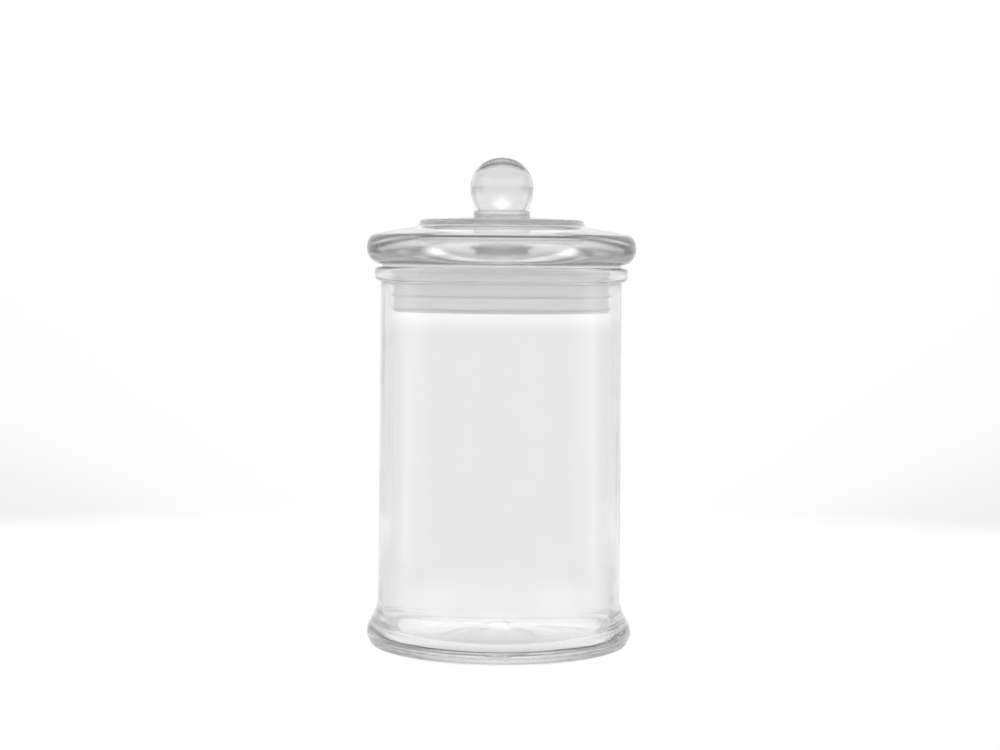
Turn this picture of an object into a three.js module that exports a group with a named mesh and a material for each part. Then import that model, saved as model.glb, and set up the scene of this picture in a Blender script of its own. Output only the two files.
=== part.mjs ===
// Lidded glass jar: a round jar with a flared foot, a pressed lid with a ball knob, and the
// finned plastic collar that seals the lid's plug in the jar's mouth.
// Millimetres, +Z up. The origin is the centre of the bearing ring that the jar stands on.
import * as THREE from 'three';

// Sides of each turned piece.
const JAR_SEGMENTS = 56;
const LID_SEGMENTS = 56;
const SEAL_SEGMENTS = 56;
const KNOB_SEGMENTS = 36;

// Shares of a dome's radius at which its outline has a point.
const DOME_SHARES = [0, 0.5, 0.8, 1];

// Clearances.
const RUNNING_GAP = 0.3;
const RESTING_GAP = 0.05;

// Jar.
const BODY_R_BOTTOM = 45.2;
const BODY_R_TOP = 44.7;
const BORE_R = 41.2;
const RIM_Z = 140.8;
const BEAD_R = 47.0;
const BEAD_LOWER_ROUND = 2.1;
const BEAD_UPPER_ROUND = 1.2;
const BEAD_HEIGHT = 5.3;
const BEAD_NECK = 0.2;
const MOUTH_ROUND = 0.8;
const FOOT_R = 49.3;
const FOOT_WIDEST_Z = 5.2;
const FOOT_SHOULDER_Z = 5.4;
const FOOT_SHOULDER_ROUND = 5.6;
const FLARE_TOP_Z = 15.2;
const FLARE_ANGLE = 32;
const BEARING_OUTER_R = 45.0;
const BEARING_INNER_R = 43.0;
const PUNT_EDGE_R = 42.2;
const PUNT_EDGE_Z = 0.7;
const PUNT_CENTRE_Z = 2.8;
const INNER_FLARE_TOP_Z = 46.0;
const INNER_FLARE_STEPS = 8;
const INNER_FLARE_SWELL = 2.2;
const FOOT_WALL = 4.9;
const FOOT_INNER_ROUND = 4.5;
const FLOOR_EDGE_Z = 4.0;
const FLOOR_CENTRE_Z = 6.6;

// Sealing collar.
const PLUG_R = 38.0;
const SEAL_BORE_R = PLUG_R + RUNNING_GAP;
const SEAL_SKIRT_R = 39.7;
const SEAL_FIN_R = BORE_R - RUNNING_GAP;
const SEAL_FIN_Z = [135.4, 130.4, 125.6];
const SEAL_FIN_ROOT = 0.9;
const SEAL_FIN_TIP = 0.3;
const SEAL_FIN_RAKE = 0.5;
const SEAL_BOTTOM_Z = 124.4;
const SEAL_FLANGE_R = 44.4;
const SEAL_FLANGE_THICK = 1.0;
const SEAL_FLANGE_Z = RIM_Z + RESTING_GAP;

// Lid.
const LID_Z = SEAL_FLANGE_Z + SEAL_FLANGE_THICK + RESTING_GAP;
const LID_R = 50.0;
const LID_SEAT_R = 44.6;
const LID_LOWER_HEIGHT = 6.1;
const LID_UPPER_RUN = 3.6;
const LID_UPPER_HEIGHT = 5.0;
const LID_UPPER_ANGLE = 80;
const DISC_FOOT_R = 33.6;
const DISC_FOOT_Z = 155.4;
const DISC_COVE_RUN = 3.2;
const DISC_COVE_HEIGHT = 2.4;
const DISC_COVE_END_ANGLE = -165;
const DISC_EDGE_Z = 158.6;
const DISC_EDGE_RUN = 1.8;
const DISC_EDGE_ANGLES = [15, 85];
const COLLAR_R = 10.5;
const COLLAR_FOOT_Z = 159.5;
const COLLAR_TOP_Z = 161.7;
const PLUG_BOTTOM_Z = 126.6;
const PLUG_WALL = 4.2;
const PLUG_LIP_ROUND = 1.2;
const RECESS_CEILING_Z = 155.2;
const RECESS_ROUND = 13.0;

// Knob.
const KNOB_FOOT_R = 9.7;
const KNOB_WAIST_Z = 170.4;
const KNOB_R = 11.7;
const KNOB_TOP_Z = 181.8;

// Points of a round stretch about (cx, cz), from one angle to another in degrees, both ends
// included. Unequal radii give a stretch of an ellipse.
function arc(cx, cz, rx, rz, from, to, steps) {
  const points = [];
  for (let i = 0; i <= steps; i += 1) {
    const angle = THREE.MathUtils.degToRad(THREE.MathUtils.lerp(from, to, i / steps));
    points.push([cx + rx * Math.cos(angle), cz + rz * Math.sin(angle)]);
  }
  return points;
}

// A piece turned about +Z from its outline of [radius, height] points.
function turned(name, outline, segments, material) {
  const profile = outline.map(([r, z]) => new THREE.Vector2(r, z));
  const geometry = new THREE.LatheGeometry(profile, segments);
  geometry.rotateX(Math.PI / 2);
  const mesh = new THREE.Mesh(geometry, material);
  mesh.name = name;
  return mesh;
}

// A shallow dome of a piece of glass: [radius, height] points from its centre to its edge.
function dome(edgeR, centreZ, edgeZ) {
  return DOME_SHARES.map((t) => [edgeR * t, THREE.MathUtils.lerp(centreZ, edgeZ, t * t)]);
}

// The bore where it widens ever faster towards the foot, down to footZ.
function innerFlare(footR, footZ) {
  const points = [];
  for (let i = 0; i <= INNER_FLARE_STEPS; i += 1) {
    const t = i / INNER_FLARE_STEPS;
    points.push([
      THREE.MathUtils.lerp(BORE_R, footR, t ** INNER_FLARE_SWELL),
      THREE.MathUtils.lerp(INNER_FLARE_TOP_Z, footZ, t),
    ]);
  }
  return points;
}

// Underside, foot, wall, bead and mouth from the outside, then the bore, which widens into the
// foot as a blown wall does, and the raised floor.
function jarOutline() {
  const heel = arc(
    BEARING_OUTER_R, FOOT_WIDEST_Z, FOOT_R - BEARING_OUTER_R, FOOT_WIDEST_Z, -90, 0, 4,
  );
  const shoulder = arc(
    FOOT_R - FOOT_SHOULDER_ROUND, FOOT_SHOULDER_Z, FOOT_SHOULDER_ROUND, FOOT_SHOULDER_ROUND,
    0, FLARE_ANGLE, 4,
  );
  const beadBottom = RIM_Z - BEAD_HEIGHT;
  const bead = [
    ...arc(
      BEAD_R - BEAD_LOWER_ROUND, beadBottom + BEAD_LOWER_ROUND,
      BEAD_LOWER_ROUND, BEAD_LOWER_ROUND, -90, 0, 3,
    ),
    ...arc(
      BEAD_R - BEAD_UPPER_ROUND, RIM_Z - BEAD_UPPER_ROUND,
      BEAD_UPPER_ROUND, BEAD_UPPER_ROUND, 0, 90, 2,
    ),
  ];
  const mouth = arc(
    BORE_R + MOUTH_ROUND, RIM_Z - MOUTH_ROUND, MOUTH_ROUND, MOUTH_ROUND, 90, 180, 2,
  );
  const floorR = FOOT_R - FOOT_WALL - FOOT_INNER_ROUND;
  const footInsideZ = FLOOR_EDGE_Z + FOOT_INNER_ROUND;
  const footInside = [
    ...innerFlare(floorR + FOOT_INNER_ROUND, footInsideZ),
    ...arc(floorR, footInsideZ, FOOT_INNER_ROUND, FOOT_INNER_ROUND, 0, -90, 5).slice(1),
  ];
  return [
    ...dome(PUNT_EDGE_R, PUNT_CENTRE_Z, PUNT_EDGE_Z),
    [BEARING_INNER_R, 0],
    ...heel,
    ...shoulder,
    [BODY_R_BOTTOM, FLARE_TOP_Z],
    [BODY_R_TOP, beadBottom - BEAD_NECK],
    ...bead,
    ...mouth,
    ...footInside,
    ...dome(floorR, FLOOR_CENTRE_Z, FLOOR_EDGE_Z).toReversed().slice(1),
  ];
}

// A ring with a flat flange over the jar's rim and a skirt of three raked fins in its bore.
function sealOutline() {
  const fins = SEAL_FIN_Z.toReversed().flatMap((z) => [
    [SEAL_SKIRT_R, z - SEAL_FIN_ROOT / 2],
    [SEAL_FIN_R, z + SEAL_FIN_RAKE - SEAL_FIN_TIP / 2],
    [SEAL_FIN_R, z + SEAL_FIN_RAKE + SEAL_FIN_TIP / 2],
    [SEAL_SKIRT_R, z + SEAL_FIN_ROOT / 2],
  ]);
  return [
    [SEAL_BORE_R, SEAL_BOTTOM_Z],
    [SEAL_SKIRT_R, SEAL_BOTTOM_Z],
    ...fins,
    [SEAL_SKIRT_R, SEAL_FLANGE_Z],
    [SEAL_FLANGE_R, SEAL_FLANGE_Z],
    [SEAL_FLANGE_R, SEAL_FLANGE_Z + SEAL_FLANGE_THICK],
    [SEAL_BORE_R, SEAL_FLANGE_Z + SEAL_FLANGE_THICK],
    [SEAL_BORE_R, SEAL_BOTTOM_Z],
  ];
}

// The recess under the lid, the plug, the rounded edge, the disc and the knob's collar.
function lidOutline() {
  const recessR = PLUG_R - PLUG_WALL;
  const recess = arc(
    recessR - RECESS_ROUND, RECESS_CEILING_Z - RECESS_ROUND, RECESS_ROUND, RECESS_ROUND, 90, 0, 4,
  );
  const lip = [
    ...arc(
      recessR + PLUG_LIP_ROUND, PLUG_BOTTOM_Z + PLUG_LIP_ROUND,
      PLUG_LIP_ROUND, PLUG_LIP_ROUND, 180, 270, 2,
    ),
    ...arc(
      PLUG_R - PLUG_LIP_ROUND, PLUG_BOTTOM_Z + PLUG_LIP_ROUND,
      PLUG_LIP_ROUND, PLUG_LIP_ROUND, -90, 0, 2,
    ),
  ];
  const widestZ = LID_Z + LID_LOWER_HEIGHT;
  const lowerEdge = arc(
    LID_SEAT_R, widestZ, LID_R - LID_SEAT_R, LID_LOWER_HEIGHT, -90, 0, 5,
  );
  const upperEdge = arc(
    LID_R - LID_UPPER_RUN, widestZ, LID_UPPER_RUN, LID_UPPER_HEIGHT, 0, LID_UPPER_ANGLE, 4,
  ).slice(1);
  const coveTop = DISC_FOOT_Z + DISC_COVE_HEIGHT;
  const cove = arc(
    DISC_FOOT_R, coveTop, DISC_COVE_RUN, DISC_COVE_HEIGHT, -90, DISC_COVE_END_ANGLE, 3,
  );
  const discEdge = arc(
    DISC_FOOT_R - DISC_COVE_RUN - DISC_EDGE_RUN, coveTop, DISC_EDGE_RUN, DISC_EDGE_Z - coveTop,
    ...DISC_EDGE_ANGLES, 2,
  );
  return [
    [0, RECESS_CEILING_Z],
    ...recess,
    ...lip,
    [PLUG_R, LID_Z],
    ...lowerEdge,
    ...upperEdge,
    ...cove,
    ...discEdge,
    [COLLAR_R, COLLAR_FOOT_Z],
    [COLLAR_R, COLLAR_TOP_Z],
    [0, COLLAR_TOP_Z],
  ];
}

// A squat ball cut flat where it stands on the lid's collar.
function knobOutline() {
  const lowerHeight = (KNOB_WAIST_Z - COLLAR_TOP_Z) / Math.sqrt(1 - (KNOB_FOOT_R / KNOB_R) ** 2);
  const footAngle = THREE.MathUtils.radToDeg(-Math.acos(KNOB_FOOT_R / KNOB_R));
  return [
    [0, COLLAR_TOP_Z],
    ...arc(0, KNOB_WAIST_Z, KNOB_R, lowerHeight, footAngle, 0, 4),
    ...arc(0, KNOB_WAIST_Z, KNOB_R, KNOB_TOP_Z - KNOB_WAIST_Z, 0, 90, 7).slice(1),
  ];
}

function clearGlass() {
  return new THREE.MeshStandardMaterial({
    color: 0xe9eeee,
    roughness: 0.03,
    metalness: 0,
    transparent: true,
    opacity: 0.35,
  });
}

function milkyPlastic() {
  return new THREE.MeshStandardMaterial({
    color: 0xdedfdf,
    roughness: 0.45,
    metalness: 0,
    transparent: true,
    opacity: 0.75,
  });
}

const jar = turned('jar_body', jarOutline(), JAR_SEGMENTS, clearGlass());
const seal = turned('sealing_collar', sealOutline(), SEAL_SEGMENTS, milkyPlastic());
const lid = turned('lid', lidOutline(), LID_SEGMENTS, clearGlass());
const knob = turned('knob', knobOutline(), KNOB_SEGMENTS, clearGlass());

// The knob stays with the lid, and the lid with the collar, when the jar is opened.
const stopper = new THREE.Group();
stopper.add(seal, lid, knob);

const group = new THREE.Group();
group.add(jar, stopper);

export default group;
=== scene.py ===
import math

import bpy
from mathutils import Matrix, Vector, noise


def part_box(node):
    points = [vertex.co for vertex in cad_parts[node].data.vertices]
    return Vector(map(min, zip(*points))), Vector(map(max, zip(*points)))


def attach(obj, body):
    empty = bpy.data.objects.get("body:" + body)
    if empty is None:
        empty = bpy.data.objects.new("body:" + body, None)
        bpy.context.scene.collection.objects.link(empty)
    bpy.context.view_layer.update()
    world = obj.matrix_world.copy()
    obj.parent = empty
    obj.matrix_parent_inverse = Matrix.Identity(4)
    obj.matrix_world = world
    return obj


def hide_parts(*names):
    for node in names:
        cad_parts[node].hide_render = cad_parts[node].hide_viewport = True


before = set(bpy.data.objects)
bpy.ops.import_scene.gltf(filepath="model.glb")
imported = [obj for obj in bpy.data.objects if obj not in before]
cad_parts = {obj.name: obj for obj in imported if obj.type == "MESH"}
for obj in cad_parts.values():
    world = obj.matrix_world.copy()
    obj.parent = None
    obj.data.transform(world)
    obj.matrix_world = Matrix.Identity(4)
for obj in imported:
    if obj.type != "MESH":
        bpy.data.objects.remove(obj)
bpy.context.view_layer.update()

MM = 0.001
RING_STEPS = 200          # sides of a turned piece
RIBS = 200                # moulded ribs round the jar's bearing ring
RIB_STEPS = 4             # sides to a rib
OUTLINE_STEP = 0.45       # between points on a round stretch
LINE_STEP = 3.0           # between points on a straight stretch
ROUND_SHARE = 0.48        # of a straight stretch that the round at its end may take
FLARE_STEPS = 16
DOME_STEPS = 14


def mm_box(node):
    """Largest radius, lowest and highest z of a turned CAD node, in millimetres."""
    low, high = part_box(node)
    return high.x / MM, low.z / MM, high.z / MM


# Sizes of the pieces in millimetres. A name that ends in ROUND is the radius of a rounded corner.
FOOT_R, _, RIM_Z = mm_box("jar_body")
SEAL_FLANGE_R, SEAL_BOTTOM_Z, SEAL_TOP_Z = mm_box("sealing_collar")
LID_R, PLUG_BOTTOM_Z, COLLAR_TOP_Z = mm_box("lid")
KNOB_R, _, KNOB_TOP_Z = mm_box("knob")
PLUG_R = 38.0
RESTING_GAP = 0.05                    # between pieces that rest on each other
RUNNING_GAP = 0.3                     # between the plug and the collar round it

# Jar: wall, bead and mouth.
BODY_R_BOTTOM, BODY_R_TOP = 45.2, 44.7
BORE_R = 41.2
BEAD_R = 47.0
BEAD_FOOT_Z, BEAD_FOOT_ROUND = RIM_Z - 5.6, 0.9
BEAD_LOWER_Z, BEAD_LOWER_ROUND = RIM_Z - 3.2, 2.1
BEAD_UPPER_ROUND = 1.4
RIM_CROWN_R, RIM_CROWN_ROUND = 42.6, 3.0
MOUTH_Z, MOUTH_ROUND = RIM_Z - 1.2, 1.0

# Jar: foot and floor.
RING_INNER_R, RING_INNER_ROUND = 42.9, 0.5
RING_OUTER_R = 45.0
FOOT_WIDEST_Z = 5.2
FOOT_SHOULDER_Z, FOOT_SHOULDER_ROUND = 5.4, 5.6
FLARE_ANGLE = 32
FLARE_TOP_Z, FLARE_TOP_ROUND = 15.2, 14.0
FOOT_WALL = 4.9
FOOT_INNER_ROUND = 4.5
INNER_FLARE_TOP_Z = 46.0
INNER_FLARE_BOTTOM_RISE = 1.0
INNER_FLARE_SWELL = 2.2
FLOOR_EDGE_Z, FLOOR_CENTRE_Z = 4.0, 6.6
FLOOR_EDGE_RUN, FLOOR_EDGE_RISE = 1.5, 0.1
FLOOR_DOME_START_R = 7.0
FLOOR_FLAT_R, FLOOR_FLAT_STEP = 6.5, 0.5
PUNT_CENTRE_Z = 2.8
PUNT_EDGE_R, PUNT_EDGE_Z = 41.6, 0.8
PUNT_START_R = 4.6
PUNT_MARK_TOP = 1.1
PUNT_MARK_EDGE = (2.4, 0.9, 1.5)      # radius, height over the punt, round
PUNT_MARK_FOOT = (3.8, 0, 1.0)

# Collar.
SEAL_BORE_R = PLUG_R + RUNNING_GAP
SEAL_SKIRT_R = 39.7
SEAL_FIN_R = 40.9
SEAL_FIN_Z = (125.6, 130.4, 135.4)
SEAL_FIN_ROOT = (-0.5, 0.45)          # the fin's lower and upper side, from its height
SEAL_FIN_TIP = (0.3, 0.65)
SEAL_FIN_ROUNDS = (0.25, 0.14)        # at the root and at the tip
SEAL_EDGE_ROUNDS = (0.3, 0.4, 0.5)    # small, middle and large
SEAL_SEAM_Z = (132.0, 132.3)          # the bore's stretch that closes the ring

# Lid.
LID_Z = SEAL_TOP_Z + RESTING_GAP
LID_SEAT_R = 44.6
LID_LOWER_HEIGHT = 6.1
LID_UPPER_RUN, LID_UPPER_HEIGHT = 3.6, 5.0
LID_UPPER_ANGLE = 80
LID_SLOPE = (40.5, 154.35, 12)        # between rounded edge and disc: radius, height, round
DISC_FOOT_R = 33.6
DISC_COVE_RUN, DISC_COVE_HEIGHT = 3.2, 2.4
DISC_COVE_TOP_Z = 157.8
DISC_COVE_END_ANGLE = -165
DISC_EDGE_RUN, DISC_EDGE_HEIGHT = 1.8, 0.8
COLLAR_R = 10.5
COLLAR_FOOT_Z, COLLAR_FOOT_ROUND = COLLAR_TOP_Z - 2.2, 0.5
COLLAR_TOP_ROUND = 0.25
PLUG_LIP_ROUND = 1.4
PLUG_ROOT_ROUND = 0.8
RECESS_R = 33.8
RECESS_ROUND = 13.0
RECESS_CEILING_Z = 155.2
RECESS_CROWN = (20, 0.1, 30)          # radius, drop, round
RECESS_EDGE_DROP = 0.2

# Knob.
KNOB_FOOT_R, KNOB_FOOT_ROUND = 9.7, 0.3
KNOB_WAIST_Z = 170.4
KNOB_FOOT_TURN = 4                    # degrees of the ball that its foot's round replaces
JOIN_GAP = 0.04                       # between the knob's foot and the lid's collar

# Unevenness of the glass: (height, lobes round the piece, millimetres along it, place in the noise).
OUTER_WAVES = ((0.03, 5.0, 40, 7.0),)
OUTER_SINK = 0.03                     # keeps the outer waves inside the CAD model's surface
INNER_WAVES = ((0.2, 2.2, 60, 3.0), (0.08, 7.0, 45, 9.0))
CALM_WAVES = ((0.02, 3.0, 30, 1.0),)
CALM_R, CALM_NECK = 20, 8             # calm inside this radius, and this far below the rim
FLOOR_TOP_Z = 12                      # no part of the floor is higher
LID_WAVES = ((0.05, 3.0, 30, 5.0),)
COLLAR_CLEAR_R, COLLAR_CLEAR_Z = 12, 158      # the knob's collar is even
KNOB_WAVES = ((0.04, 1.2, 14, 2.0),)
KNOB_SEAM_HEIGHT, KNOB_SEAM_WIDTH = 0.05, 0.35
KNOB_SINK = 0.05                      # takes back the seam's height
RIB_DEPTH = 0.22
RIB_TOP_Z = 2.6
RIB_FADE_RUN, RIB_FADE_HEIGHT = 0.8, 1.2
NUB_AT = (3.0, 0.0)                   # the pontil mark on the floor
NUB_HEIGHT, NUB_WIDTH = 0.8, 2.0

# Materials. A grey is a colour's red, green and blue in linear light. A noise is (scale, detail).
GLASS_IOR = 1.5
ABSORPTION_COLOUR = (0.5, 0.5, 0.5, 1)
STREAKS, STREAK_TINT, STREAK_BUMP = (60, 2), 0.012, 0.5
GLASS_FILM = (120, 2)                 # noise of the roughness
NOISE_LOW, NOISE_HIGH = 0.3, 0.7      # nearly all of a noise lies between them
JAR_TINT, JAR_DENSITY = 0.907, 5.0    # grey of the surface, and density of the absorption inside
LID_TINT, LID_DENSITY = 0.89, 14.0
KNOB_TINT, KNOB_DENSITY = 0.78, 8.0
JAR_ROUGH = (0.07, 0.12)
LID_ROUGH = (0.09, 0.16)
KNOB_ROUGH = (0.02, 0.05)
JAR_RIPPLE = ((1, 1, 0.15), 0.000008)     # stretch of the streaks, and height of their bump in metres
PRESSED_RIPPLE = ((1, 1, 1), 0.00001)
JAR_CLEAR = (0.116, 0.1245, 0.995)    # heights in metres between which the jar gets clearer, grey
SEAL_IOR = 1.45
SEAL_CLOUD, SEAL_GREYS = (90, 3), (0.77, 0.81)
SEAL_GRAIN, SEAL_ROUGH = (900, 4), (0.38, 0.5)
SEAL_BUMP = (0.25, 0.0001)            # strength, and height in metres
MIX_SHARE, MIX_LOW, MIX_HIGH, MIX_RESULT = 0, 6, 7, 2     # sockets of a colour mix node

# Surroundings, whose plain radiance is 1. Angles are in degrees, azimuths from +Y on both sides.
# A light is (azimuth, width, extra radiance), and a gap (azimuth, width, share of the light lost).
SIDE_LIGHTS = ((86, 12, 0.35), (111, 27, 1.75), (180, 50, 1.5))
SIDE_LIGHT_FOOT = (3, 10)             # elevations between which the side lights begin
SIDE_GAPS = ((58, 13, 0.4),)
LOW_GAPS = ((36, 10, 0.25),)
LOW_GAP_TOP = 12                      # elevation that the low gaps reach
CEILING_LIGHT = 0.4                   # share of the light that is left at the ceiling
CEILING_START = (25, 39)              # elevations between which the ceiling begins
CEILING_OPENING = (30, 0.9)           # width about +Y where the ceiling stays light, and how far
BACK_LIGHT = (17, 6.5, 11, 0.65)      # elevation, height, width, extra radiance

# Floor, in metres.
FLOOR_HALF = 30.0                     # half its side
FLOOR_DROP = 0.0004                   # from the jar's bearing ring down to the floor
FLOOR_LIGHTS = ((83, 11, 0.65),)
FLOOR_LIGHT_FADE = 0.03               # from the jar's edge to where the floor's lights are full
FLOOR_GAPS = ((36, 14, 0.13),)
FLOOR_GAP_START = (0.42, 0.52)        # distances from the jar's axis between which the gaps begin
UNDER_LIGHT = 0.08                    # change in radiance under the jar
SHADOW_R, SHADOW_SOFTNESS = 0.0445, 0.0025
SHADOW_DEPTH = 0.3                    # radiance lost in the front part of what is under the jar
SHADOW_FRONT = (-0.005, -0.04)        # y between which the front part begins
NUB_GLOW, NUB_GLOW_WIDTH = 1.2, 0.0035    # extra radiance under the pontil mark

# Camera, in metres and degrees, and light paths.
SENSOR_WIDTH, FOCAL_LENGTH = 36, 84.2
CAMERA_EYE = (-0.0002, -0.870, 0.1455)
CAMERA_AIM = (-0.0002, 0, 0.1008)
CAMERA_ROLL = 0.45
CAMERA_CLIP = (0.01, 50)
GLASS_BOUNCES, GLOSS_BOUNCES = 32, 12


# ---------------------------------------------------------------- outlines

def arc(cx, cz, rx, rz, start, stop):
    """Points of a round stretch about (cx, cz), angles in degrees."""
    length = math.radians(abs(stop - start)) * max(rx, rz)
    steps = max(3, math.ceil(length / OUTLINE_STEP))
    points = []
    for i in range(steps + 1):
        a = math.radians(start + (stop - start) * i / steps)
        points.append((cx + rx * math.cos(a), cz + rz * math.sin(a)))
    return points


def fillet(before, corner, after, radius):
    """Points of a round of the given radius in a corner of an outline."""
    c = Vector(corner)
    to_before, to_after = Vector(before) - c, Vector(after) - c
    u, v = to_before.normalized(), to_after.normalized()
    half = u.angle(v) / 2
    reach = radius / math.tan(half)
    reach = min(reach, to_before.length * ROUND_SHARE, to_after.length * ROUND_SHARE)
    radius = reach * math.tan(half)
    centre = c + (u + v).normalized() * (radius / math.sin(half))
    p, q = c + u * reach - centre, c + v * reach - centre
    sweep = p.angle_signed(q)
    steps = max(3, math.ceil(abs(sweep) * radius / OUTLINE_STEP))
    points = []
    for i in range(steps + 1):
        t = -sweep * i / steps
        turn = Vector((p.x * math.cos(t) - p.y * math.sin(t), p.x * math.sin(t) + p.y * math.cos(t)))
        points.append(tuple(centre + turn))
    return points


def outline(corners):
    """A dense outline from (r, z) points and (r, z, fillet) corners."""
    drawn = [corners[0][:2]]
    for i in range(1, len(corners) - 1):
        if len(corners[i]) == 3:
            drawn += fillet(corners[i - 1][:2], corners[i][:2], corners[i + 1][:2], corners[i][2])
        else:
            drawn.append(corners[i])
    drawn.append(corners[-1][:2])
    dense = [drawn[0]]
    for a, b in zip(drawn, drawn[1:]):
        gap = math.dist(a, b)
        if gap < 1e-4:
            continue
        steps = max(1, math.ceil(gap / LINE_STEP))
        for k in range(1, steps + 1):
            dense.append((a[0] + (b[0] - a[0]) * k / steps, a[1] + (b[1] - a[1]) * k / steps))
    return dense


def normals(points):
    """Outward unit normals of an outline that runs anticlockwise round its glass."""
    found = []
    for i in range(len(points)):
        a, b = points[max(i - 1, 0)], points[min(i + 1, len(points) - 1)]
        d = Vector((b[0] - a[0], b[1] - a[1])).normalized()
        found.append(Vector((d.y, -d.x)))
    return found


def dome(edge, centre_z, edge_z, start):
    """Points of a shallow dome from radius start to its edge."""
    points = []
    for i in range(DOME_STEPS + 1):
        r = start + (edge - start) * i / DOME_STEPS
        points.append((r, centre_z + (edge_z - centre_z) * (r / edge) ** 2))
    return points


# ---------------------------------------------------------------- turned meshes

def turned(name, points, relief=None, steps_at=None, closed=False):
    """A mesh turned about Z. relief(angle, r, z, normal) moves a point along its normal."""
    outward = normals(points)
    vertices, rings = [], []
    for (r, z), n in zip(points, outward):
        if r < 1e-6:
            rings.append([len(vertices)])
            vertices.append((0, 0, z * MM))
            continue
        count = steps_at(r, z) if steps_at else RING_STEPS
        ring = []
        for k in range(count):
            a = 2 * math.pi * k / count
            move = relief(a, r, z, n) if relief else 0
            rr, zz = r + n.x * move, z + n.y * move
            ring.append(len(vertices))
            vertices.append((rr * math.cos(a) * MM, rr * math.sin(a) * MM, zz * MM))
        rings.append(ring)
    pairs = list(zip(rings, rings[1:]))
    if closed:
        pairs.append((rings[-1], rings[0]))
    faces = []
    for low, high in pairs:
        faces += band(low, high)
    mesh = bpy.data.meshes.new(name)
    mesh.from_pydata(vertices, [], faces)
    mesh.update()
    mesh.shade_smooth()
    piece = bpy.data.objects.new(name, mesh)
    bpy.context.scene.collection.objects.link(piece)
    return piece


def band(low, high):
    """Faces between two rings, whose counts are equal, a multiple of each other, or one."""
    if len(low) == 1:
        return [(low[0], high[(k + 1) % len(high)], high[k]) for k in range(len(high))]
    if len(high) == 1:
        return [(low[k], low[(k + 1) % len(low)], high[0]) for k in range(len(low))]
    if len(low) == len(high):
        n = len(low)
        return [(low[k], low[(k + 1) % n], high[(k + 1) % n], high[k]) for k in range(n)]
    coarse, fine, flip = (low, high, False) if len(low) < len(high) else (high, low, True)
    ratio, n, m = len(fine) // len(coarse), len(coarse), len(fine)
    half = ratio // 2
    faces = []
    for k in range(n):
        a, b = coarse[k], coarse[(k + 1) % n]
        run = [fine[(k * ratio + j) % m] for j in range(ratio + 1)]
        made = [(a, run[j + 1], run[j]) for j in range(half)]
        made.append((a, b, run[half]))
        made += [(b, run[j + 1], run[j]) for j in range(half, ratio)]
        faces += [tuple(reversed(f)) for f in made] if flip else made
    return faces


def unevenness(a, z, waves):
    """Slow irregularity of hot glass, as a sum of waves."""
    total = 0
    for height, around, upright, seed in waves:
        place = Vector((math.cos(a) * around, math.sin(a) * around, z / upright + seed))
        total += height * noise.noise(place)
    return total


# ---------------------------------------------------------------- the pieces

def inner_flare(foot_r):
    """Points down the bore, which widens to foot_r ever faster below INNER_FLARE_TOP_Z."""
    foot_z = FLOOR_EDGE_Z + FOOT_INNER_ROUND + INNER_FLARE_BOTTOM_RISE
    points = []
    for i in range(FLARE_STEPS + 1):
        t = i / FLARE_STEPS
        z = INNER_FLARE_TOP_Z + (foot_z - INNER_FLARE_TOP_Z) * t
        points.append((BORE_R + (foot_r - BORE_R) * t ** INNER_FLARE_SWELL, z))
    return points


def jar_underside():
    edge_r, edge_rise, edge_round = PUNT_MARK_EDGE
    foot_r, foot_rise, foot_round = PUNT_MARK_FOOT
    return [
        (0, PUNT_CENTRE_Z + PUNT_MARK_TOP),
        (edge_r, PUNT_CENTRE_Z + edge_rise, edge_round),
        (foot_r, PUNT_CENTRE_Z + foot_rise, foot_round),
        *dome(PUNT_EDGE_R, PUNT_CENTRE_Z, PUNT_EDGE_Z, PUNT_START_R),
        (RING_INNER_R, 0, RING_INNER_ROUND),
    ]


def jar_outside():
    shoulder, lower, upper = FOOT_SHOULDER_ROUND, BEAD_LOWER_ROUND, BEAD_UPPER_ROUND
    return [
        *arc(RING_OUTER_R, FOOT_WIDEST_Z, FOOT_R - RING_OUTER_R, FOOT_WIDEST_Z, -90, 0),
        *arc(FOOT_R - shoulder, FOOT_SHOULDER_Z, shoulder, shoulder, 0, FLARE_ANGLE),
        (BODY_R_BOTTOM, FLARE_TOP_Z, FLARE_TOP_ROUND), (BODY_R_TOP, BEAD_FOOT_Z, BEAD_FOOT_ROUND),
        *arc(BEAD_R - lower, BEAD_LOWER_Z, lower, lower, -88, 0),
        *arc(BEAD_R - upper, RIM_Z - upper, upper, upper, 0, 85),
        (RIM_CROWN_R, RIM_Z, RIM_CROWN_ROUND),
    ]


def jar_inside():
    floor_r = FOOT_R - FOOT_WALL - FOOT_INNER_ROUND
    dome_r, dome_z = floor_r - FLOOR_EDGE_RUN, FLOOR_EDGE_Z + FLOOR_EDGE_RISE
    flat_steps = round(FLOOR_FLAT_R / FLOOR_FLAT_STEP)
    return [
        *arc(BORE_R + MOUTH_ROUND, MOUTH_Z, MOUTH_ROUND, MOUTH_ROUND, 80, 180),
        *inner_flare(floor_r + FOOT_INNER_ROUND),
        *arc(floor_r, FLOOR_EDGE_Z + FOOT_INNER_ROUND, FOOT_INNER_ROUND, FOOT_INNER_ROUND, 8, -84),
        *reversed(dome(dome_r, FLOOR_CENTRE_Z, dome_z, FLOOR_DOME_START_R)),
        *[(FLOOR_FLAT_R - FLOOR_FLAT_STEP * i, FLOOR_CENTRE_Z) for i in range(flat_steps + 1)],
    ]


def ring_sides(r, z):
    """More sides where the bearing ring is ribbed."""
    ribbed = r > RING_INNER_R and z < RIB_TOP_Z
    return RING_STEPS * RIB_STEPS if ribbed else RING_STEPS


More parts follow.
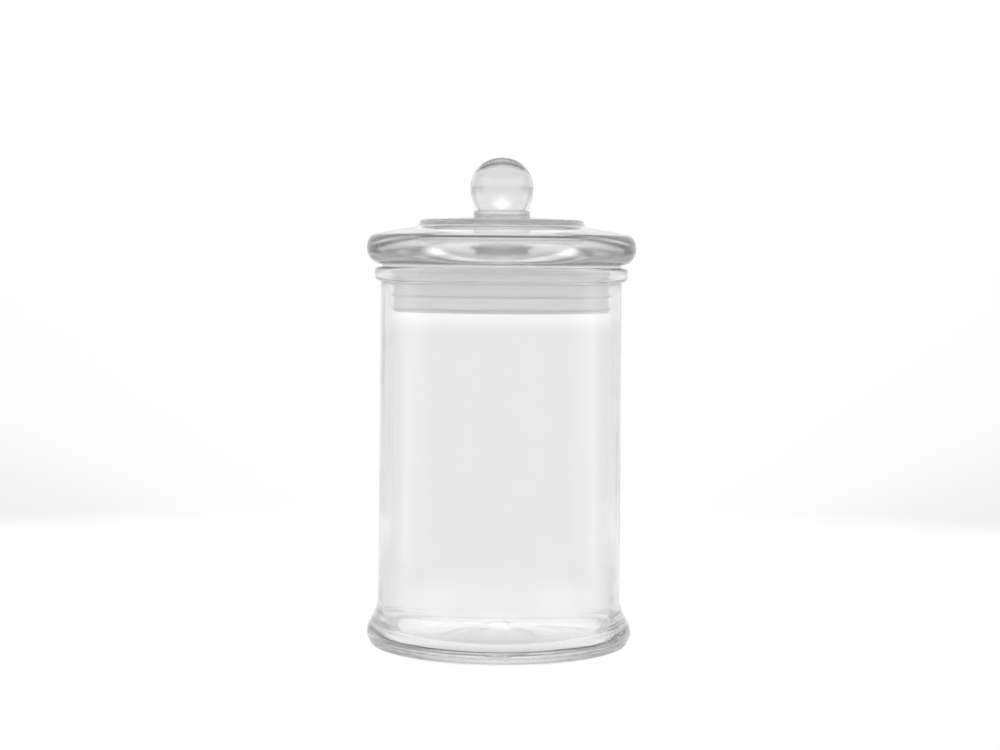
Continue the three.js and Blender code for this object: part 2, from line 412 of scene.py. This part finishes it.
def jar_relief(a, r, z, n):
    if ring_sides(r, z) > RING_STEPS:
        fade = min(1, (r - RING_INNER_R) / RIB_FADE_RUN, (RIB_TOP_Z - z) / RIB_FADE_HEIGHT)
        return -RIB_DEPTH * fade * (0.5 - 0.5 * math.cos(RIBS * a))
    if r < FLOOR_DOME_START_R and z > FLOOR_EDGE_Z:
        off = math.dist((r * math.cos(a), r * math.sin(a)), NUB_AT)
        return NUB_HEIGHT * math.exp(-((off / NUB_WIDTH) ** 2))
    if r < CALM_R or z > RIM_Z - CALM_NECK:
        return unevenness(a, z, CALM_WAVES)
    on_floor = n.y > 0.5 and z < FLOOR_TOP_Z
    if n.x < 0 or on_floor:
        return unevenness(a, z, INNER_WAVES)
    return unevenness(a, z, OUTER_WAVES) - OUTER_SINK


def make_jar():
    points = outline([*jar_underside(), *jar_outside(), *jar_inside()])
    return turned("jar_glass", points, jar_relief, ring_sides)


def make_seal():
    root_round, tip_round = SEAL_FIN_ROUNDS
    small, middle, large = SEAL_EDGE_ROUNDS
    fins = []
    for z in SEAL_FIN_Z:
        fins += [
            (SEAL_SKIRT_R, z + SEAL_FIN_ROOT[0], root_round),
            (SEAL_FIN_R, z + SEAL_FIN_TIP[0], tip_round),
            (SEAL_FIN_R, z + SEAL_FIN_TIP[1], tip_round),
            (SEAL_SKIRT_R, z + SEAL_FIN_ROOT[1], root_round),
        ]
    points = outline([
        (SEAL_BORE_R, SEAL_SEAM_Z[0]),
        (SEAL_BORE_R, SEAL_BOTTOM_Z, middle), (SEAL_SKIRT_R, SEAL_BOTTOM_Z, large),
        *fins,
        (SEAL_SKIRT_R, RIM_Z + RESTING_GAP, middle), (SEAL_FLANGE_R, RIM_Z + RESTING_GAP, small),
        (SEAL_FLANGE_R, SEAL_TOP_Z, small), (SEAL_BORE_R, SEAL_TOP_Z, middle),
        (SEAL_BORE_R, SEAL_SEAM_Z[1]),
    ])
    return turned("seal_plastic", points, closed=True)


def plug_outline():
    crown_r, crown_drop, crown_round = RECESS_CROWN
    recess_z = RECESS_CEILING_Z - RECESS_ROUND - RECESS_EDGE_DROP
    lip_z = PLUG_BOTTOM_Z + PLUG_LIP_ROUND
    return [
        (0, RECESS_CEILING_Z), (crown_r, RECESS_CEILING_Z - crown_drop, crown_round),
        *arc(RECESS_R - RECESS_ROUND, recess_z, RECESS_ROUND, RECESS_ROUND, 88, 0),
        *arc(RECESS_R + PLUG_LIP_ROUND, lip_z, PLUG_LIP_ROUND, PLUG_LIP_ROUND, 180, 270),
        *arc(PLUG_R - PLUG_LIP_ROUND, lip_z, PLUG_LIP_ROUND, PLUG_LIP_ROUND, -90, 0),
        (PLUG_R, LID_Z, PLUG_ROOT_ROUND),
    ]


def lid_top_outline():
    widest_z = LID_Z + LID_LOWER_HEIGHT
    disc_edge_r = DISC_FOOT_R - DISC_COVE_RUN - DISC_EDGE_RUN
    return [
        *arc(LID_SEAT_R, widest_z, LID_R - LID_SEAT_R, LID_LOWER_HEIGHT, -89, 0),
        *arc(LID_R - LID_UPPER_RUN, widest_z, LID_UPPER_RUN, LID_UPPER_HEIGHT, 0, LID_UPPER_ANGLE),
        LID_SLOPE,
        *arc(DISC_FOOT_R, DISC_COVE_TOP_Z, DISC_COVE_RUN, DISC_COVE_HEIGHT, -88, DISC_COVE_END_ANGLE),
        *arc(disc_edge_r, DISC_COVE_TOP_Z, DISC_EDGE_RUN, DISC_EDGE_HEIGHT, 15, 86),
        (COLLAR_R, COLLAR_FOOT_Z, COLLAR_FOOT_ROUND), (COLLAR_R, COLLAR_TOP_Z, COLLAR_TOP_ROUND),
        (0, COLLAR_TOP_Z),
    ]


def lid_relief(a, r, z, n):
    if r < COLLAR_CLEAR_R and z > COLLAR_CLEAR_Z:
        return 0
    return unevenness(a, z + r, LID_WAVES)


def make_lid():
    return turned("lid_glass", outline([*plug_outline(), *lid_top_outline()]), lid_relief)


def knob_relief(a, r, z, n):
    """A faint seam down the front and back, and the slight unevenness of a pressed ball."""
    if r < 1:
        return 0
    off = min(abs(a - math.pi / 2), abs(a - 3 * math.pi / 2)) * r
    seam = KNOB_SEAM_HEIGHT * math.exp(-((off / KNOB_SEAM_WIDTH) ** 2))
    return seam - KNOB_SINK + unevenness(a, z, KNOB_WAVES)


def make_knob():
    share = KNOB_FOOT_R / KNOB_R
    lower_height = (KNOB_WAIST_Z - COLLAR_TOP_Z) / math.sqrt(1 - share ** 2)
    start = KNOB_FOOT_TURN - math.degrees(math.acos(share))
    base = COLLAR_TOP_Z + JOIN_GAP
    points = outline([
        (0, base), (KNOB_FOOT_R, base, KNOB_FOOT_ROUND),
        *arc(0, KNOB_WAIST_Z, KNOB_R, lower_height, start, 0),
        *arc(0, KNOB_WAIST_Z, KNOB_R, KNOB_TOP_Z - KNOB_WAIST_Z, 0, 90),
    ])
    return turned("knob_glass", points, knob_relief)


# ---------------------------------------------------------------- shader nodes

def node(tree, kind, **inputs):
    made = tree.nodes.new(kind)
    for key, value in inputs.items():
        made.inputs[key.replace("_", " ")].default_value = value
    return made


def math_node(tree, operation, first, second=None):
    made = tree.nodes.new("ShaderNodeMath")
    made.operation = operation
    for i, value in enumerate((first, second)):
        if isinstance(value, (int, float)):
            made.inputs[i].default_value = value
        elif value is not None:
            tree.links.new(value, made.inputs[i])
    return made.outputs[0]


def add(tree, first, second):
    return math_node(tree, "ADD", first, second)


def subtract(tree, first, second):
    return math_node(tree, "SUBTRACT", first, second)


def multiply(tree, first, second):
    return math_node(tree, "MULTIPLY", first, second)


def smooth_step(tree, value, start, stop):
    """0 where value is start, 1 where it is stop, and smooth between."""
    made = node(tree, "ShaderNodeMapRange", From_Min=start, From_Max=stop)
    made.interpolation_type = "SMOOTHSTEP"
    tree.links.new(value, made.inputs["Value"])
    return made.outputs["Result"]


def hump(tree, value, centre, width):
    """A smooth hump of height 1 where value is centre, width to its 1/e point."""
    off = math_node(tree, "DIVIDE", subtract(tree, value, centre), width)
    return math_node(tree, "EXPONENT", multiply(tree, multiply(tree, off, off), -1))


def distance(tree, place, point):
    made = tree.nodes.new("ShaderNodeVectorMath")
    made.operation = "DISTANCE"
    made.inputs[1].default_value = point
    tree.links.new(place, made.inputs[0])
    return made.outputs["Value"]


def degrees(tree, value):
    return multiply(tree, value, 180 / math.pi)


def azimuth(tree, direction):
    """The unsigned angle of a direction from +Y, in degrees, and its y and z."""
    split = tree.nodes.new("ShaderNodeSeparateXYZ")
    tree.links.new(direction, split.inputs[0])
    turn = math_node(tree, "ARCTAN2", split.outputs["X"], split.outputs["Y"])
    return math_node(tree, "ABSOLUTE", degrees(tree, turn)), split.outputs["Y"], split.outputs["Z"]


# ---------------------------------------------------------------- materials

def blank(name):
    """A material with a shader, its node tree, and the coordinates of the object's own frame."""
    material = bpy.data.materials.new(name)
    material.use_nodes = True
    tree = material.node_tree
    tree.nodes.clear()
    output = node(tree, "ShaderNodeOutputMaterial")
    shader = node(tree, "ShaderNodeBsdfPrincipled")
    tree.links.new(shader.outputs["BSDF"], output.inputs["Surface"])
    coords = node(tree, "ShaderNodeTexCoord")
    return material, tree, shader, output, coords.outputs["Object"]


def noise_of(tree, coords, scale, detail, stretch=(1, 1, 1)):
    mapping = node(tree, "ShaderNodeMapping", Scale=stretch)
    tree.links.new(coords, mapping.inputs["Vector"])
    made = node(tree, "ShaderNodeTexNoise", Scale=scale, Detail=detail)
    tree.links.new(mapping.outputs["Vector"], made.inputs["Vector"])
    return made.outputs["Fac"]


def ranged(tree, value, low, high, target):
    """Spreads a noise over low to high and links it to the target."""
    made = node(tree, "ShaderNodeMapRange", From_Min=NOISE_LOW, From_Max=NOISE_HIGH)
    made.inputs["To Min"].default_value = low
    made.inputs["To Max"].default_value = high
    tree.links.new(value, made.inputs["Value"])
    tree.links.new(made.outputs["Result"], target)


def toned(tree, value, low, high):
    """A mix node between two greys."""
    made = node(tree, "ShaderNodeMix")
    made.data_type = "RGBA"
    made.inputs[MIX_LOW].default_value = (low, low, low, 1)
    made.inputs[MIX_HIGH].default_value = (high, high, high, 1)
    tree.links.new(value, made.inputs[MIX_SHARE])
    return made


def cleared(tree, coords, tones, start, stop, clear):
    """A mix node that turns from the tones to a clearer grey between two heights."""
    split = tree.nodes.new("ShaderNodeSeparateXYZ")
    tree.links.new(coords, split.inputs[0])
    made = toned(tree, smooth_step(tree, split.outputs["Z"], start, stop), 1, clear)
    tree.links.new(tones.outputs[MIX_RESULT], made.inputs[MIX_LOW])
    return made


def bumped(tree, value, strength, height, shader):
    made = node(tree, "ShaderNodeBump", Strength=strength, Distance=height)
    tree.links.new(value, made.inputs["Height"])
    tree.links.new(made.outputs["Normal"], shader.inputs["Normal"])


def clear_glass(name, tint, density, rough, ripple, clear=None):
    """Streaked grey glass. ripple is (stretch, height), and clear is (start, stop, grey)."""
    material, tree, shader, output, coords = blank(name)
    shader.inputs["Transmission Weight"].default_value = 1.0
    shader.inputs["IOR"].default_value = GLASS_IOR
    stretch, height = ripple
    streaks = noise_of(tree, coords, *STREAKS, stretch)
    tones = toned(tree, streaks, tint - STREAK_TINT, tint + STREAK_TINT)
    if clear:
        tones = cleared(tree, coords, tones, *clear)
    tree.links.new(tones.outputs[MIX_RESULT], shader.inputs["Base Color"])
    ranged(tree, noise_of(tree, coords, *GLASS_FILM), *rough, shader.inputs["Roughness"])
    bumped(tree, streaks, STREAK_BUMP, height, shader)
    absorb = node(tree, "ShaderNodeVolumeAbsorption", Color=ABSORPTION_COLOUR, Density=density)
    tree.links.new(absorb.outputs["Volume"], output.inputs["Volume"])
    return material


def milky_plastic():
    material, tree, shader, _, coords = blank("milky_polyethylene")
    shader.inputs["IOR"].default_value = SEAL_IOR
    cloud = toned(tree, noise_of(tree, coords, *SEAL_CLOUD), *SEAL_GREYS)
    tree.links.new(cloud.outputs[MIX_RESULT], shader.inputs["Base Color"])
    grain = noise_of(tree, coords, *SEAL_GRAIN)
    ranged(tree, grain, *SEAL_ROUGH, shader.inputs["Roughness"])
    bumped(tree, grain, *SEAL_BUMP, shader)
    return material


# ---------------------------------------------------------------- studio

def side_light(tree, angle, lights):
    """The extra radiance of the lights at the sides."""
    total = 0
    for centre, width, extra in lights:
        total = add(tree, multiply(tree, hump(tree, angle, centre, width), extra), total)
    return total


def dark_gaps(tree, light, angle, gaps, share=1):
    """The light, dimmed in the gaps. share fades the gaps out."""
    for centre, width, depth in gaps:
        gap = multiply(tree, hump(tree, angle, centre, width), depth)
        light = multiply(tree, light, subtract(tree, 1, multiply(tree, gap, share)))
    return light


def floor_light(tree, place):
    """Radiance of the floor: side lights, far gaps, contact shadow, glow under the pontil mark."""
    angle, depth, _ = azimuth(tree, place)
    reach = distance(tree, place, (0, 0, 0))
    beside = smooth_step(tree, reach, SHADOW_R, SHADOW_R + FLOOR_LIGHT_FADE)
    light = multiply(tree, side_light(tree, angle, FLOOR_LIGHTS), beside)
    far = smooth_step(tree, reach, *FLOOR_GAP_START)
    light = dark_gaps(tree, add(tree, light, 1), angle, FLOOR_GAPS, far)
    under = smooth_step(tree, reach, SHADOW_R + SHADOW_SOFTNESS, SHADOW_R - SHADOW_SOFTNESS)
    shadow = multiply(tree, smooth_step(tree, depth, *SHADOW_FRONT), SHADOW_DEPTH)
    light = add(tree, light, multiply(tree, under, subtract(tree, UNDER_LIGHT, shadow)))
    off = distance(tree, place, (NUB_AT[0] * MM, NUB_AT[1] * MM, 0))
    return add(tree, light, multiply(tree, hump(tree, off, 0, NUB_GLOW_WIDTH), NUB_GLOW))


def make_floor():
    mesh = bpy.data.meshes.new("floor")
    h = FLOOR_HALF
    mesh.from_pydata([(-h, -h, 0), (h, -h, 0), (h, h, 0), (-h, h, 0)], [], [(0, 1, 2, 3)])
    floor = bpy.data.objects.new("floor", mesh)
    bpy.context.scene.collection.objects.link(floor)
    floor.location.z = -FLOOR_DROP
    material = bpy.data.materials.new("white_floor")
    material.use_nodes = True
    tree = material.node_tree
    tree.nodes.clear()
    output = node(tree, "ShaderNodeOutputMaterial")
    glow = node(tree, "ShaderNodeEmission")
    coords = node(tree, "ShaderNodeTexCoord")
    tree.links.new(floor_light(tree, coords.outputs["Object"]), glow.inputs["Strength"])
    tree.links.new(glow.outputs[0], output.inputs["Surface"])
    mesh.materials.append(material)


def world_light(tree, direction):
    """Radiance of a white cove: side lights, dim gaps and ceiling, and a bright spot at the back."""
    angle, _, height = azimuth(tree, direction)
    elevation = degrees(tree, math_node(tree, "ARCSINE", height))
    above = smooth_step(tree, elevation, *SIDE_LIGHT_FOOT)
    light = add(tree, multiply(tree, side_light(tree, angle, SIDE_LIGHTS), above), 1)
    light = dark_gaps(tree, light, angle, SIDE_GAPS)
    light = dark_gaps(tree, light, angle, LOW_GAPS, smooth_step(tree, elevation, LOW_GAP_TOP, 0))
    width, share = CEILING_OPENING
    opening = subtract(tree, 1, multiply(tree, hump(tree, angle, 0, width), share))
    ceiling = multiply(tree, smooth_step(tree, elevation, *CEILING_START), opening)
    light = multiply(tree, light, subtract(tree, 1, multiply(tree, ceiling, 1 - CEILING_LIGHT)))
    centre, tall, wide, extra = BACK_LIGHT
    spot = multiply(tree, hump(tree, elevation, centre, tall), hump(tree, angle, 0, wide))
    return add(tree, light, multiply(tree, spot, extra))


def make_world():
    world = bpy.data.worlds.new("studio")
    bpy.context.scene.world = world
    world.use_nodes = True
    tree = world.node_tree
    tree.nodes.clear()
    output = node(tree, "ShaderNodeOutputWorld")
    glow = node(tree, "ShaderNodeBackground", Color=(1, 1, 1, 1))
    coords = node(tree, "ShaderNodeTexCoord")
    tree.links.new(world_light(tree, coords.outputs["Generated"]), glow.inputs["Strength"])
    tree.links.new(glow.outputs[0], output.inputs["Surface"])


def make_camera():
    data = bpy.data.cameras.new("camera")
    data.sensor_width = SENSOR_WIDTH
    data.lens = FOCAL_LENGTH
    data.clip_start, data.clip_end = CAMERA_CLIP
    camera = bpy.data.objects.new("camera", data)
    bpy.context.scene.collection.objects.link(camera)
    eye, aim = Vector(CAMERA_EYE), Vector(CAMERA_AIM)
    look = (eye - aim).to_track_quat("Z", "Y").to_matrix()
    roll = Matrix.Rotation(math.radians(CAMERA_ROLL), 3, "Z")
    camera.matrix_world = Matrix.Translation(eye) @ (look @ roll).to_4x4()
    bpy.context.scene.camera = camera


# ---------------------------------------------------------------- the scene

def finish_piece(piece, body, replaced, material):
    piece.data.materials.append(material)
    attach(piece, body)
    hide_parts(replaced)


scene = bpy.context.scene
scene.view_settings.view_transform = "Standard"
scene.cycles.max_bounces = GLASS_BOUNCES
scene.cycles.transmission_bounces = GLASS_BOUNCES
scene.cycles.glossy_bounces = GLOSS_BOUNCES

make_camera()
make_world()
make_floor()

finish_piece(make_jar(), "jar", "jar_body",
             clear_glass("jar_glass", JAR_TINT, JAR_DENSITY, JAR_ROUGH, JAR_RIPPLE, JAR_CLEAR))
finish_piece(make_seal(), "seal", "sealing_collar", milky_plastic())
finish_piece(make_lid(), "lid", "lid",
             clear_glass("lid_glass", LID_TINT, LID_DENSITY, LID_ROUGH, PRESSED_RIPPLE))
finish_piece(make_knob(), "lid", "knob",
             clear_glass("knob_glass", KNOB_TINT, KNOB_DENSITY, KNOB_ROUGH, PRESSED_RIPPLE))
